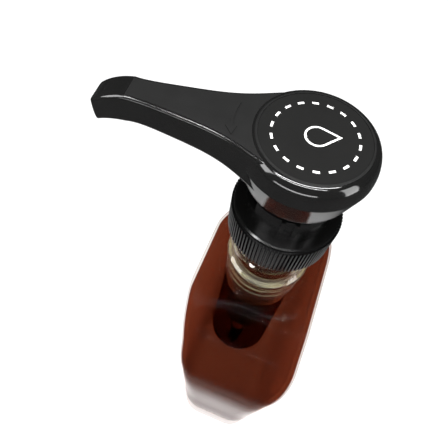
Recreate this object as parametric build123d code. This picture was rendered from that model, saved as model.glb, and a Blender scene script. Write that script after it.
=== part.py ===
from build123d import *
import os
from math import cos, pi, radians, sin, tan

# Push-pump syrup dispenser: a clear rounded-rectangular bottle with a tall threaded neck,
# a knurled screw closure, a slotted collar, and a round pump head with a long drooping spout.
# Millimetres, +Z up, z = 0 is the table, and the pump axis is x = y = 0. The bottle's thin direction
# is X, its wide direction is Y, and the spout reaches over its +X side.

# ---------------------------------------------------------------- clearances
RUN_CLEAR = 0.08             # radial clearance of turning and sliding fits
SEAT_CLEAR = 0.05            # gap between seated pieces
THREAD_CLEAR = 0.25          # closure bore beyond the neck's thread crest
OVERCUT = 1.0                # how far a cut runs past the face that it opens

# ---------------------------------------------------------------- bottle
CLOSURE_Z = 200.0            # reference level: the closed screw closure's foot, about
BODY_SHOULDER_X = 31.7       # half thickness at the shoulder
BODY_WAIST_X = 27.4          # half thickness halfway down the body
BODY_BASE_X = 24.5           # half thickness at the base
BODY_SHOULDER_Y = 52.0       # half width at the shoulder
BODY_BASE_Y = 61.0           # half width at the base
BODY_BACK = 5.0              # the body stands this far behind the pump axis, away from the spout
BODY_BACK_DROP = 26.0        # height of the shoulder over which it gets there
CORNER_SHOULDER = 10.0       # plan corner radius at the shoulder
CORNER_BASE = 14.5           # plan corner radius at the base
CORNER_MARGIN = 0.1          # least straight left beside a corner
BODY_WALL = 3.0              # side wall
BASE_THICK = 15.0            # solid clear foot under the syrup
HEEL_HEIGHT = 7.0            # height of the rounded heel
HEEL_INSET = 5.0             # how far the heel draws in at the table
SHOULDER_DROP_X = 7.0        # height of the rounded shoulder across the thickness
SHOULDER_POWER_X = 2.7       # 2 is an ellipse, more is squarer
SHOULDER_DROP_Y = 38.3       # height of the sloping shoulder across the width
SHOULDER_POWER_Y = 1.7
SHOULDER_STEPS_X = (0.0, 0.03, 0.12, 0.3, 0.6, 1.0)
SHOULDER_STEPS_Y = (0.3, 0.45, 0.62, 0.8, 1.0)
BODY_STEPS = (0.36, 0.48, 0.6, 0.72, 0.86, 1.0)
HEEL_STEPS = ((1.0, 0.0), (0.45, 0.13), (0.12, 0.45), (0.0, 1.0))

# ---------------------------------------------------------------- neck
NECK_RIM_UP = 11.5           # rim of the neck above the closure's foot
NECK_R = 17.0                # thread root
NECK_WALL = 2.1
NECK_SWELL = 1.0             # how much wider the plain neck is below the upper bead
NECK_EDGE = 0.5              # chamfer of the rim
BEAD_A_DOWN = 25.5           # carrying bead below the closure's foot
BEAD_A_STAND = 1.9           # how far it stands out of the neck
BEAD_A_HALF = 1.7            # half its height
BEAD_SOFT = 0.6              # how far a bead's edges draw in
BEAD_FLAT_SHARE = 0.4        # share of a bead's height at its full radius
BEAD_SLOPE = 0.8             # height of the slope from the neck's wall to a bead
NECK_FOOT_DOWN = 44.6        # bead at the neck's foot
BEAD_B_STAND = 3.2
BEAD_B_HALF = 1.8
SHOULDER_STEP = 1.0          # the shoulder starts this far inside the foot's bead

# ---------------------------------------------------------------- screw thread
THREAD_LEAD = 5.0
THREAD_HEIGHT = 1.3          # crest above the neck's thread root
THREAD_ROOT_W = 2.2
THREAD_CREST_W = 1.0
THREAD_SINK = 0.3            # how deep each ridge runs into its wall
NECK_THREAD_DOWN = 11.5      # first centre of the ridge below the closure's foot
NECK_THREAD_TURNS = 4.0
CAP_THREAD_FROM = 3.0        # turns of the neck's ridge below the closure's ridge
CAP_THREAD_TURNS = 1.6
CAP_THREAD_HEIGHT = 1.2
CAP_THREAD_DROP = 1.9        # the closure's ridge runs this far under the neck's ridge

# ---------------------------------------------------------------- closure
CLOSURE_H = 16.5
CLOSURE_ROOF = 2.0
CLOSURE_WALL = 1.7           # wall under the knurl
CLOSURE_EDGE = 1.0           # rounding of the top edge
CLOSURE_CHAMFER = 0.3        # chamfer of the foot
KNURL_DEPTH = 0.75
KNURL_COUNT = 90
KNURL_CREST_SHARE = 0.45     # share of each pitch that a rib's crest takes
KNURL_ROOT_SHARE = 0.76      # share of each pitch that a rib's root takes
KNURL_LIP = 1.4              # plain band above the knurl
KNURL_FOOT = 0.6             # plain band below the knurl

# ---------------------------------------------------------------- pump housing and seals
GASKET_THICK = 1.2
FLANGE_THICK = 1.8
FLANGE_CLEAR = 0.65          # flange inside the closure's bore
HOUSING_CLEAR = 1.4          # housing inside the neck's bore
HOUSING_WALL = 1.7
RING_STEP = 0.6              # the snap ring stands this far inside the housing
HOUSING_BOTTOM_DOWN = 104.0  # end of the wide cylinder below the closure's foot
HOUSING_CONE = 6.0
HOUSING_CONE_STEP = 4.5      # how far the cone draws in
SOCKET_WALL = 1.75           # wall of the dip tube's socket
SOCKET_DEPTH = 12.0
SOCKET_GRIP = 10.0           # how far the dip tube goes into it
FLOOR_THICK = 3.0            # floor of the pump chamber
INLET_R = 2.1                # inlet hole under the lower ball
INLET_BALL_R = 3.2
INLET_SIT = 1.76             # height of the resting ball's middle over the chamber's floor
INLET_LIFT = 2.0

# ---------------------------------------------------------------- slotted collar
COLLAR_FOOT = 3.3            # how far the collar reaches outside the snap ring
COLLAR_WALL = 1.8
COLLAR_PLATE = 2.2
COLLAR_LIFT = 0.1            # running gap between the collar plate and the closure's roof
COLLAR_SLOTS = 3
SLOT_WIDTH = 7.0
SLOT_ANGLE = 40.0            # first open slot, from the bottle's +X side
SLOT_SILL = 2.0              # bottom of the slots above the bridge
RIB_ANGLE = 100.0            # first U-shaped rib, from the bottle's +X side
RIB_WIDTH = 6.0
RIB_STAND = 0.7
RIB_BAR = 1.5
GUIDE_WALL = 2.5             # wall of the stem's guide

# ---------------------------------------------------------------- stem, piston and spring
STEM_R = 5.0
STEM_WALL = 1.8
STEM_FOOT_DOWN = 34.0
STOP_STAND = 3.0             # the stem's stop flange, which ends the upward travel
STOP_THICK = 2.5
STROKE = 15.5                # full travel of the head
PRESS_GAP = 0.2              # left between the spout's duct and the collar when pressed
GUIDE_GAP = 1.0              # left between the boss and the guide when pressed
SKIRT_GAP = 2.55             # left between the skirt and the closure when pressed
WIPER_THICK = 1.6
PISTON_H = 12.0
PISTON_LIP_H = 2.4
PISTON_WALL = 1.6
PISTON_WAIST = 1.9           # how far the piston draws in between its lips
SEAL_H = 3.0
BALL_CLEAR = 0.6             # outlet ball inside the stem's bore
OUTLET_SEAT_R = 1.8
OUTLET_LIFT = 1.5
BALL_STOP_GAP = 0.2          # left between a lifted ball and its stop
RETAINER_H = 4.0
RETAINER_WALL = 1.7
RETAINER_CLEAR = 0.01
SPRING_WIRE_R = 0.6
SPRING_R = 8.6
SPRING_TURNS = 9
SPRING_SAMPLES = 40          # points measured on each turn
SEAT_RING_H = 2.0
CAGE_CLEAR = 0.4             # cage round the lower ball
CAGE_WALL = 1.2
CAGE_TOP = 1.2
CAGE_HOLE_R = 2.0
CAGE_RAIL = 0.5              # left above and below the cage's windows
CAGE_WINDOW_W = 3.2
DIP_TUBE_R = 4.0
DIP_TUBE_WALL = 0.9
DIP_TUBE_FLOOR_GAP = 6.0
DIP_TUBE_CUT = 30.0          # slanted foot of the dip tube, degrees

# ---------------------------------------------------------------- head and spout
HEAD_TURN = 5.2              # the head stands turned this far on the stem, degrees
HEAD_H = 18.4
HEAD_WALL = 1.6
SKIRT_CLEAR = 0.5            # skirt outside the collar's ribs
HEAD_FLARE = 2.6             # how much wider the head is at its rim than at its foot
HEAD_ROUND = 4.0             # how far the rounded top edge draws in
HEAD_ROUND_DROP = 7.5        # height of that rounding
HEAD_CEILING = 4.0           # from the top face down to the hollow of the skirt
CEILING_INSET = 1.2          # the hollow draws in this far more at its ceiling
DISC_LAND = 0.4              # flat rim outside the disc
DISC_THICK = 1.6
DISC_PROUD = 0.15            # depth of the disc below the rim's top face
BOSS_WALL = 2.5
BOSS_ROOT = 0.5              # how far the boss and the duct run into the head
BOSS_H = 14.5                # from the head's top face down to the boss's foot
SPOUT_TOP_DROP = 0.3         # flat top of the spout below the head's top face
SPOUT_BORE_R = 2.3
SPOUT_BORE_DROP = 4.8        # channel's centre line below the head's top face
STEM_ROOF = 0.9              # wall between the stem's top and the channel
DUCT_WALL = 1.2              # wall round the channel inside the skirt
BEND_X = 55.5                # the channel bends down here
SPOUT_ROOT_X = 6.0
SPOUT_FLAT_END_X = 57.5      # the flat top ends here and the tip droops
KNEE_X = 63.3                # section halfway down the droop
KNEE_DROOP = 9.0             # degrees that this section leans
KNEE_RISE = 1.1              # its middle above the channel's centre line
KNEE_HEIGHT = 8.4
TIP_X = 68.5                 # middle of the tip's end face
TIP_DROOP = 20.0             # degrees that the tip's channel points down
TIP_HEIGHT = 6.8             # height of the tip's end face
TIP_CORNER = 4.0             # plan rounding of the tip's corners
TIP_SLACK = 0.3              # how far that rounded outline stays outside the spout's sides
SPOUT_ROOT_INSET = 2.0       # top of the spout's root inside the skirt's foot radius
SPOUT_ROOT_STEP = 1.0        # its bottom is this much wider on each side
# stations of the spout beyond its root: x, half width of the top, of the bottom, height
SPOUT_ROOT_H = 14.9
SPOUT_STATIONS = (
    (16.0, 13.4, 14.6, 12.5),
    (25.0, 9.8, 11.2, 10.6),
    (35.0, 7.5, 9.0, 9.6),
    (46.0, 5.8, 7.4, 9.0),
    (SPOUT_FLAT_END_X, 4.9, 6.7, 9.2),
)
SPOUT_EDGE = 1.3             # rounding of the spout's long edges
SPOUT_SINK = 0.2             # how far the spout runs into the skirt's wall from inside
KNEE_TOP_HALF = 4.9
KNEE_BOTTOM_HALF = 6.4
TIP_TOP_HALF = 5.0
TIP_BOTTOM_HALF = 6.0

# ---------------------------------------------------------------- syrup
SYRUP_GAP = 0.1              # film between the syrup and the glass
SYRUP_TOP_DOWN = 9.0         # surface below the neck's foot
SYRUP_WELL = 0.6             # clearance round the pump

# ---------------------------------------------------------------- derived radii
NECK_BORE_R = NECK_R - NECK_WALL
NECK_LOWER_R = NECK_R + NECK_SWELL
LOWER_BORE_R = NECK_LOWER_R - NECK_WALL
BEAD_A_R = NECK_R + BEAD_A_STAND
BEAD_B_R = NECK_LOWER_R + BEAD_B_STAND
SHOULDER_TOP_R = BEAD_B_R - SHOULDER_STEP
CAP_BORE_R = NECK_R + THREAD_HEIGHT + THREAD_CLEAR
CAP_VALLEY_R = CAP_BORE_R + CLOSURE_WALL
CLOSURE_R = CAP_VALLEY_R + KNURL_DEPTH
FLANGE_R = CAP_BORE_R - FLANGE_CLEAR
HOUSING_R = NECK_BORE_R - HOUSING_CLEAR
HOUSING_BORE_R = HOUSING_R - HOUSING_WALL
HOUSING_RING_R = HOUSING_R - RING_STEP
SOCKET_R = DIP_TUBE_R + SEAT_CLEAR + SOCKET_WALL
STEM_BORE_R = STEM_R - STEM_WALL
GUIDE_R = STEM_R + RUN_CLEAR + GUIDE_WALL
BOSS_R = STEM_R + SEAT_CLEAR + BOSS_WALL
OUTLET_BALL_R = STEM_BORE_R - BALL_CLEAR
PISTON_R = HOUSING_BORE_R - RUN_CLEAR
CAGE_BORE_R = INLET_BALL_R + CAGE_CLEAR
CAGE_R = CAGE_BORE_R + CAGE_WALL
COLLAR_R = HOUSING_RING_R + COLLAR_FOOT
SKIRT_BORE_R = COLLAR_R + RIB_STAND + SKIRT_CLEAR
HEAD_RIM_R = SKIRT_BORE_R + HEAD_WALL
HEAD_R = HEAD_RIM_R + HEAD_FLARE
DISC_R = HEAD_R - HEAD_ROUND - DISC_LAND
DUCT_R = SPOUT_BORE_R + DUCT_WALL

# ---------------------------------------------------------------- derived levels
NECK_RIM_Z = CLOSURE_Z + NECK_RIM_UP
BEAD_A_Z = CLOSURE_Z - BEAD_A_DOWN
NECK_FOOT_Z = CLOSURE_Z - NECK_FOOT_DOWN
THREAD_Z = CLOSURE_Z - NECK_THREAD_DOWN
FLANGE_Z = NECK_RIM_Z + GASKET_THICK
ROOF_Z = FLANGE_Z + FLANGE_THICK + SEAT_CLEAR
CLOSURE_TOP_Z = ROOF_Z + CLOSURE_ROOF
CLOSURE_FOOT_Z = CLOSURE_TOP_Z - CLOSURE_H
HOUSING_BOTTOM_Z = CLOSURE_Z - HOUSING_BOTTOM_DOWN
CHAMBER_FLOOR_Z = HOUSING_BOTTOM_Z + FLOOR_THICK
SEAT_TOP_Z = CHAMBER_FLOOR_Z + SEAT_RING_H
INLET_BALL_Z = CHAMBER_FLOOR_Z + INLET_SIT
SOCKET_Z = HOUSING_BOTTOM_Z - HOUSING_CONE
SOCKET_FOOT_Z = SOCKET_Z - SOCKET_DEPTH
PLATE_Z = CLOSURE_TOP_Z + COLLAR_LIFT
RING_TOP_Z = PLATE_Z + COLLAR_PLATE
WIPER_Z = RING_TOP_Z - WIPER_THICK
BRIDGE_Z = RING_TOP_Z + SEAT_CLEAR
BRIDGE_TOP_Z = BRIDGE_Z + COLLAR_PLATE
HEAD_BOTTOM_Z = CLOSURE_TOP_Z + STROKE + SKIRT_GAP
HEAD_TOP_Z = HEAD_BOTTOM_Z + HEAD_H
CEILING_Z = HEAD_TOP_Z - HEAD_CEILING
BOSS_Z = HEAD_TOP_Z - BOSS_H
SPOUT_TOP_Z = HEAD_TOP_Z - SPOUT_TOP_DROP
BORE_Z = HEAD_TOP_Z - SPOUT_BORE_DROP
TIP_Z = BORE_Z - (TIP_X - BEND_X) * tan(radians(TIP_DROOP))
KNEE_Z = BORE_Z - (KNEE_X - BEND_X) * tan(radians(TIP_DROOP)) + KNEE_RISE
GUIDE_TOP_Z = BOSS_Z - STROKE - GUIDE_GAP
COLLAR_TOP_Z = BORE_Z - DUCT_R - STROKE - PRESS_GAP
STEM_TOP_Z = BORE_Z - SPOUT_BORE_R - STEM_ROOF
STEM_FOOT_Z = CLOSURE_Z - STEM_FOOT_DOWN
STOP_TOP_Z = WIPER_Z - SEAT_CLEAR
PISTON_Z = STEM_FOOT_Z - PISTON_WALL - PISTON_LIP_H
PISTON_TOP_Z = PISTON_Z + PISTON_H
OUTLET_BALL_Z = STEM_FOOT_Z + SEAT_CLEAR + (OUTLET_BALL_R ** 2 - OUTLET_SEAT_R ** 2) ** 0.5


def disc(radius, z_low, z_high):
    """Upright cylinder on the pump axis between two levels."""
    return Pos(0, 0, (z_low + z_high) / 2) * Cylinder(radius, z_high - z_low)


def ring(outer, inner, z_low, z_high):
    """Upright ring on the pump axis between two levels."""
    return disc(outer, z_low, z_high) - disc(inner, z_low - OVERCUT, z_high + OVERCUT)


def turned(points):
    """Solid turned about the pump axis from (radius, z) points."""
    return revolve(make_face(Plane.XZ * Polyline(*points, close=True)), Axis.Z)


def helical_ridge(root, crest, root_w, crest_w, z_start, turns):
    """Trapezoid thread ridge wound on the pump axis from its root radius to its crest radius."""
    path = Pos(0, 0, z_start) * Helix(THREAD_LEAD, THREAD_LEAD * turns, root)
    points = [
        (root, z_start - root_w / 2),
        (crest, z_start - crest_w / 2),
        (crest, z_start + crest_w / 2),
        (root, z_start + root_w / 2),
    ]
    section = make_face(Plane.XZ * Polyline(*points, close=True))
    return sweep(section, path, is_frenet=True)


def rounded_rise(drop, height, power):
    """How much of its growth a shoulder has made at a drop below the neck's foot, 0 to 1."""
    left = 1 - min(drop / height, 1)
    return (1 - left ** power) ** (1 / power)


def body_section(step, inset):
    """Half sizes and corner radius of the body from the neck's foot (0) to the heel's top (1)."""
    drop = step * (NECK_FOOT_Z - HEEL_HEIGHT)
    rise_x = rounded_rise(drop, SHOULDER_DROP_X, SHOULDER_POWER_X)
    rise_y = rounded_rise(drop, SHOULDER_DROP_Y, SHOULDER_POWER_Y)
    waisted = (
        BODY_SHOULDER_X * (1 - step) * (1 - 2 * step)
        + 4 * BODY_WAIST_X * step * (1 - step)
        + BODY_BASE_X * step * (2 * step - 1)
    )
    wide = BODY_SHOULDER_Y + (BODY_BASE_Y - BODY_SHOULDER_Y) * step
    square = CORNER_SHOULDER + (CORNER_BASE - CORNER_SHOULDER) * step
    half_x = SHOULDER_TOP_R + (waisted - SHOULDER_TOP_R) * rise_x
    half_y = SHOULDER_TOP_R + (wide - SHOULDER_TOP_R) * rise_y
    corner = SHOULDER_TOP_R + (square - SHOULDER_TOP_R) * min(rise_x, rise_y)
    return half_x - inset, half_y - inset, corner - inset


def section_face(half_x, half_y, corner, z, back):
    """Rounded rectangle at a level, set back, its corner kept just inside its half sizes."""
    fitting = min(corner, half_x - CORNER_MARGIN, half_y - CORNER_MARGIN)
    return Pos(-back, 0, z) * RectangleRounded(2 * half_x, 2 * half_y, fitting)


def bottle_form(inset, floor_z):
    """Closed body of the bottle, drawn in by a wall, from a floor level up to the neck's foot."""
    depth = NECK_FOOT_Z - HEEL_HEIGHT
    steps = [share * SHOULDER_DROP_X / depth for share in SHOULDER_STEPS_X]
    steps += [share * SHOULDER_DROP_Y / depth for share in SHOULDER_STEPS_Y]
    steps += BODY_STEPS
    heel_top_z = floor_z + HEEL_HEIGHT
    wall_faces = []
    for step in steps:
        z = NECK_FOOT_Z - depth * step - inset
        if z > heel_top_z + OVERCUT:
            back = BODY_BACK * min(depth * step / BODY_BACK_DROP, 1)
            wall_faces.append(section_face(*body_section(step, inset), z, back))
    heel_step = (NECK_FOOT_Z - inset - heel_top_z) / depth
    wall_faces.append(section_face(*body_section(heel_step, inset), heel_top_z, BODY_BACK))
    heel_faces = []
    for share, rise in HEEL_STEPS:
        section = body_section(heel_step, inset + HEEL_INSET * share)
        heel_faces.append(section_face(*section, floor_z + HEEL_HEIGHT * rise, BODY_BACK))
    return loft(wall_faces) + loft(heel_faces, ruled=True)


def bead(radius, z, half):
    """Points of a rounded bead from its top to its foot, as (radius, z)."""
    return [
        (radius - BEAD_SOFT, z + half),
        (radius, z + half * BEAD_FLAT_SHARE),
        (radius, z - half * BEAD_FLAT_SHARE),
        (radius - BEAD_SOFT, z - half),
    ]


def neck_ring():
    """Neck from its rim to its foot, with the carrying bead and the bead at its foot."""
    return turned([
        (NECK_BORE_R, NECK_RIM_Z),
        (NECK_R - NECK_EDGE, NECK_RIM_Z),
        (NECK_R, NECK_RIM_Z - NECK_EDGE),
        (NECK_R, BEAD_A_Z + BEAD_A_HALF + BEAD_SLOPE),
        *bead(BEAD_A_R, BEAD_A_Z, BEAD_A_HALF),
        (NECK_LOWER_R, BEAD_A_Z - BEAD_A_HALF - BEAD_SLOPE / 2),
        (NECK_LOWER_R, NECK_FOOT_Z + BEAD_B_HALF + BEAD_SLOPE),
        *bead(BEAD_B_R, NECK_FOOT_Z, BEAD_B_HALF),
        (LOWER_BORE_R, NECK_FOOT_Z - BEAD_B_HALF),
        (LOWER_BORE_R, BEAD_A_Z - BEAD_A_HALF),
        (NECK_BORE_R, BEAD_A_Z + BEAD_A_HALF),
    ])


def bottle():
    """Clear bottle: thick foot, thin walls, tall neck with a helical thread and two beads."""
    ridge = helical_ridge(
        NECK_R - THREAD_SINK, NECK_R + THREAD_HEIGHT, THREAD_ROOT_W, THREAD_CREST_W,
        THREAD_Z, NECK_THREAD_TURNS,
    )
    mouth = disc(LOWER_BORE_R, NECK_FOOT_Z - 2 * BODY_WALL, NECK_FOOT_Z + OVERCUT)
    shell = bottle_form(0.0, 0.0) - bottle_form(BODY_WALL, BASE_THICK)
    return shell - mouth + neck_ring() + ridge


def syrup():
    """The syrup that fills the bottle, with a well for the pump and its dip tube."""
    surface_z = NECK_FOOT_Z - SYRUP_TOP_DOWN
    fill = bottle_form(BODY_WALL + SYRUP_GAP, BASE_THICK + SYRUP_GAP)
    cover = 4 * BODY_BASE_Y
    fill -= Pos(0, 0, surface_z + cover / 2) * Box(cover, cover, cover)
    fill -= disc(HOUSING_R + SYRUP_WELL, SOCKET_Z - SYRUP_WELL, NECK_RIM_Z)
    fill -= disc(SOCKET_R + SYRUP_WELL, SOCKET_FOOT_Z - SYRUP_WELL, NECK_RIM_Z)
    return fill - disc(DIP_TUBE_R + SYRUP_WELL, BASE_THICK + SYRUP_WELL, NECK_RIM_Z)


def knurl():
    """Band of vertical ribs round the closure."""
    pitch = 2 * pi / KNURL_COUNT
    half_crest = pitch * KNURL_CREST_SHARE / 2
    half_root = pitch * KNURL_ROOT_SHARE / 2
    points = []
    for index in range(KNURL_COUNT):
        middle = index * pitch
        for angle, radius in (
            (middle - half_root, CAP_VALLEY_R),
            (middle - half_crest, CLOSURE_R),
            (middle + half_crest, CLOSURE_R),
            (middle + half_root, CAP_VALLEY_R),
        ):
            points.append((radius * cos(angle), radius * sin(angle)))
    low = CLOSURE_FOOT_Z + KNURL_FOOT
    face = make_face(Polyline(*points, close=True))
    return Pos(0, 0, low) * extrude(face, CLOSURE_TOP_Z - KNURL_LIP - low)


def closure_cap():
    """Knurled screw closure, captive between the pump flange and the slotted collar."""
    core = turned([
        (0, CLOSURE_FOOT_Z),
        (CAP_VALLEY_R - CLOSURE_CHAMFER, CLOSURE_FOOT_Z),
        (CAP_VALLEY_R, CLOSURE_FOOT_Z + CLOSURE_CHAMFER),
        (CAP_VALLEY_R, CLOSURE_TOP_Z - CLOSURE_EDGE),
        (CAP_VALLEY_R - CLOSURE_CHAMFER, CLOSURE_TOP_Z - CLOSURE_CHAMFER),
        (CAP_VALLEY_R - CLOSURE_EDGE, CLOSURE_TOP_Z),
        (0, CLOSURE_TOP_Z),
    ])
    cap = core + knurl()
    cap -= disc(CAP_BORE_R, CLOSURE_FOOT_Z - OVERCUT, ROOF_Z)
    cap -= disc(HOUSING_RING_R + RUN_CLEAR, ROOF_Z - OVERCUT, CLOSURE_TOP_Z + OVERCUT)
    ridge = helical_ridge(
        CAP_BORE_R + THREAD_SINK, CAP_BORE_R - CAP_THREAD_HEIGHT, THREAD_ROOT_W, THREAD_CREST_W,
        THREAD_Z + CAP_THREAD_FROM * THREAD_LEAD - CAP_THREAD_DROP, CAP_THREAD_TURNS,
    )
    return cap + ridge


def gasket():
    """Flat sealing ring between the neck's rim and the pump flange."""
    return ring(FLANGE_R, NECK_BORE_R, NECK_RIM_Z + SEAT_CLEAR, FLANGE_Z - SEAT_CLEAR)


def pump_housing():
    """Pump cylinder with its flange, snap ring, chamber floor, inlet seat and dip tube socket."""
    outer = turned([
        (0, SOCKET_FOOT_Z),
        (SOCKET_R, SOCKET_FOOT_Z),
        (SOCKET_R, SOCKET_Z),
        (HOUSING_R - HOUSING_CONE_STEP, SOCKET_Z),
        (HOUSING_R, HOUSING_BOTTOM_Z),
        (HOUSING_R, FLANGE_Z),
        (FLANGE_R, FLANGE_Z),
        (FLANGE_R, FLANGE_Z + FLANGE_THICK),
        (HOUSING_RING_R, FLANGE_Z + FLANGE_THICK),
        (HOUSING_RING_R, RING_TOP_Z),
        (0, RING_TOP_Z),
    ])
    chamber = disc(HOUSING_BORE_R, CHAMBER_FLOOR_Z, RING_TOP_Z + OVERCUT)
    seat = Pos(0, 0, INLET_BALL_Z) * Sphere(INLET_BALL_R + SEAT_CLEAR)
    inlet = disc(INLET_R, SOCKET_FOOT_Z, CHAMBER_FLOOR_Z)
    socket = disc(DIP_TUBE_R + SEAT_CLEAR, SOCKET_FOOT_Z - OVERCUT, SOCKET_FOOT_Z + SOCKET_GRIP)
    return outer - chamber - seat - inlet - socket


def slotted_collar():
    """Collar on the housing's snap ring: plate, slotted wall with U-shaped ribs, and stem guide."""
    body = ring(COLLAR_R, HOUSING_RING_R + SEAT_CLEAR, PLATE_Z, RING_TOP_Z)
    body += ring(COLLAR_R, COLLAR_R - COLLAR_WALL, PLATE_Z, COLLAR_TOP_Z)
    body += ring(COLLAR_R, STEM_R + RUN_CLEAR, BRIDGE_Z, BRIDGE_TOP_Z)
    body += ring(GUIDE_R, STEM_R + RUN_CLEAR, BRIDGE_Z, GUIDE_TOP_Z)
    sill = BRIDGE_TOP_Z + SLOT_SILL
    slot_h = COLLAR_TOP_Z + OVERCUT - sill
    for index in range(COLLAR_SLOTS):
        turn = Rot(0, 0, SLOT_ANGLE + index * 360 / COLLAR_SLOTS)
        place = Pos(COLLAR_R - COLLAR_WALL / 2, 0, sill + slot_h / 2)
        body -= turn * place * Box(COLLAR_WALL * 3, SLOT_WIDTH, slot_h)
    depth = COLLAR_WALL + RIB_STAND
    rib_h = COLLAR_TOP_Z - PLATE_Z
    for index in range(COLLAR_SLOTS):
        turn = Rot(0, 0, RIB_ANGLE + index * 360 / COLLAR_SLOTS)
        rib_x = COLLAR_R + RIB_STAND
        block = Pos(rib_x - depth / 2, 0, PLATE_Z + rib_h / 2) * Box(depth, RIB_WIDTH, rib_h)
        hollow = Pos(rib_x, 0, RING_TOP_Z + rib_h / 2) * Box(2 * RIB_STAND, RIB_WIDTH - 2 * RIB_BAR, rib_h)
        body += turn * (block - hollow)
    return body


def stem_wiper():
    """Wiper ring that rides on the stem under the collar's guide."""
    return ring(HOUSING_BORE_R - SEAT_CLEAR, STEM_R + RUN_CLEAR, WIPER_Z, RING_TOP_Z)


def stem():
    """Hollow stem from the head's boss down to the piston, with the flange that stops its rise."""
    stop = ring(STEM_R + STOP_STAND, STEM_BORE_R, STOP_TOP_Z - STOP_THICK, STOP_TOP_Z)
    return ring(STEM_R, STEM_BORE_R, STEM_FOOT_Z, STEM_TOP_Z) + stop


def piston():
    """Piston pushed on the stem's foot, with two lips and the outlet ball's seat."""
    body = turned([
        (0, PISTON_Z),
        (PISTON_R, PISTON_Z),
        (PISTON_R, PISTON_Z + PISTON_LIP_H),
        (PISTON_R - PISTON_WAIST, PISTON_Z + PISTON_LIP_H),
        (PISTON_R - PISTON_WAIST, PISTON_TOP_Z - PISTON_LIP_H),
        (PISTON_R, PISTON_TOP_Z - PISTON_LIP_H),
        (PISTON_R, PISTON_TOP_Z),
        (0, PISTON_TOP_Z),
    ])
    body -= disc(STEM_R + SEAT_CLEAR, STEM_FOOT_Z, PISTON_TOP_Z + OVERCUT)
    return body - disc(OUTLET_SEAT_R, PISTON_Z - OVERCUT, STEM_FOOT_Z + OVERCUT)


def piston_seal():
    """Soft sealing ring in the piston's waist."""
    middle = (PISTON_Z + PISTON_TOP_Z) / 2
    inner = PISTON_R - PISTON_WAIST + SEAT_CLEAR
    return ring(PISTON_R, inner, middle - SEAL_H / 2, middle + SEAL_H / 2)


def outlet_ball():
    """Upper check ball, resting on the piston's seat inside the stem's bore."""
    return Pos(0, 0, OUTLET_BALL_Z) * Sphere(OUTLET_BALL_R)


def ball_retainer():
    """Short sleeve pressed in the stem's bore, which stops the outlet ball."""
    low = OUTLET_BALL_Z + OUTLET_BALL_R + OUTLET_LIFT + BALL_STOP_GAP
    outer = STEM_BORE_R - RETAINER_CLEAR
    return ring(outer, outer - RETAINER_WALL, low, low + RETAINER_H)


def least_gap(path, wire_r):
    """Least gap between two turns of a wound wire, measured on points of its centre line."""
    count = SPRING_TURNS * SPRING_SAMPLES
    points = [path @ (index / count) for index in range(count + 1)]
    nearest = min(
        (points[first] - points[second]).length
        for first in range(count + 1)
        for second in range(first + SPRING_SAMPLES // 2, min(first + 2 * SPRING_SAMPLES, count + 1))
    )
    return nearest - 2 * wire_r


def return_spring():
    """Wound return spring between the spring seat and the piston, one unbroken wire."""
    low = SEAT_TOP_Z + SEAT_CLEAR + SPRING_WIRE_R
    high = PISTON_Z - SEAT_CLEAR - SPRING_WIRE_R
    path = Pos(0, 0, low) * Helix((high - low) / SPRING_TURNS, high - low, SPRING_R)
    section = Plane(origin=path @ 0, z_dir=path % 0) * Circle(SPRING_WIRE_R)
    print("return spring: least gap between turns", round(least_gap(path, SPRING_WIRE_R), 2), "mm")
    return sweep(section, path, is_frenet=True)


def spring_seat():
    """Flat ring under the spring on the chamber floor, which also holds the ball cage."""
    return ring(HOUSING_BORE_R - SEAT_CLEAR, CAGE_R + SEAT_CLEAR, CHAMBER_FLOOR_Z + SEAT_CLEAR, SEAT_TOP_Z)


def ball_cage():
    """Slotted cage over the lower check ball, on the chamber floor."""
    low = CHAMBER_FLOOR_Z + SEAT_CLEAR
    ceiling = INLET_BALL_Z + INLET_BALL_R + INLET_LIFT + BALL_STOP_GAP
    cage = disc(CAGE_R, low, ceiling + CAGE_TOP) - disc(CAGE_BORE_R, low - OVERCUT, ceiling)
    cage -= disc(CAGE_HOLE_R, ceiling - OVERCUT, ceiling + CAGE_TOP + OVERCUT)
    window_low = SEAT_TOP_Z + CAGE_RAIL
    window_h = ceiling - CAGE_RAIL - window_low
    for index in range(2):
        window = Pos(0, 0, window_low + window_h / 2) * Box(3 * CAGE_R, CAGE_WINDOW_W, window_h)
        cage -= Rot(0, 0, 90 * index) * window
    return cage


def inlet_ball():
    """Lower check ball on the chamber floor's seat."""
    return Pos(0, 0, INLET_BALL_Z) * Sphere(INLET_BALL_R - SEAT_CLEAR)


def dip_tube():
    """Tube from the housing's socket to just above the bottle's floor, its foot cut on a slant."""
    top = SOCKET_FOOT_Z + SOCKET_GRIP - SEAT_CLEAR
    low = BASE_THICK + DIP_TUBE_FLOOR_GAP
    tube = ring(DIP_TUBE_R, DIP_TUBE_R - DIP_TUBE_WALL, low, top)
    block = 12 * DIP_TUBE_R
    wedge = Pos(0, 0, low) * Rot(0, DIP_TUBE_CUT, 0) * Pos(0, 0, -block / 2) * Box(block, block, block)
    return tube - wedge


def spout_face(place, top_half, bottom_half, low, high):
    """Cross-section of the spout: a trapezoid with rounded corners in a plane across it."""
    outline = Polyline(
        (-bottom_half, low), (bottom_half, low), (top_half, high), (-top_half, high), close=True,
    )
    face = make_face(outline)
    return place * fillet(face.vertices(), SPOUT_EDGE)


def across(x, z=0.0, droop=0.0):
    """Plane across the spout at a place, leaning with a drooping direction in degrees."""
    lean = radians(droop)
    return Plane(origin=(x, 0, z), x_dir=(0, 1, 0), z_dir=(cos(lean), 0, -sin(lean)))


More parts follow.
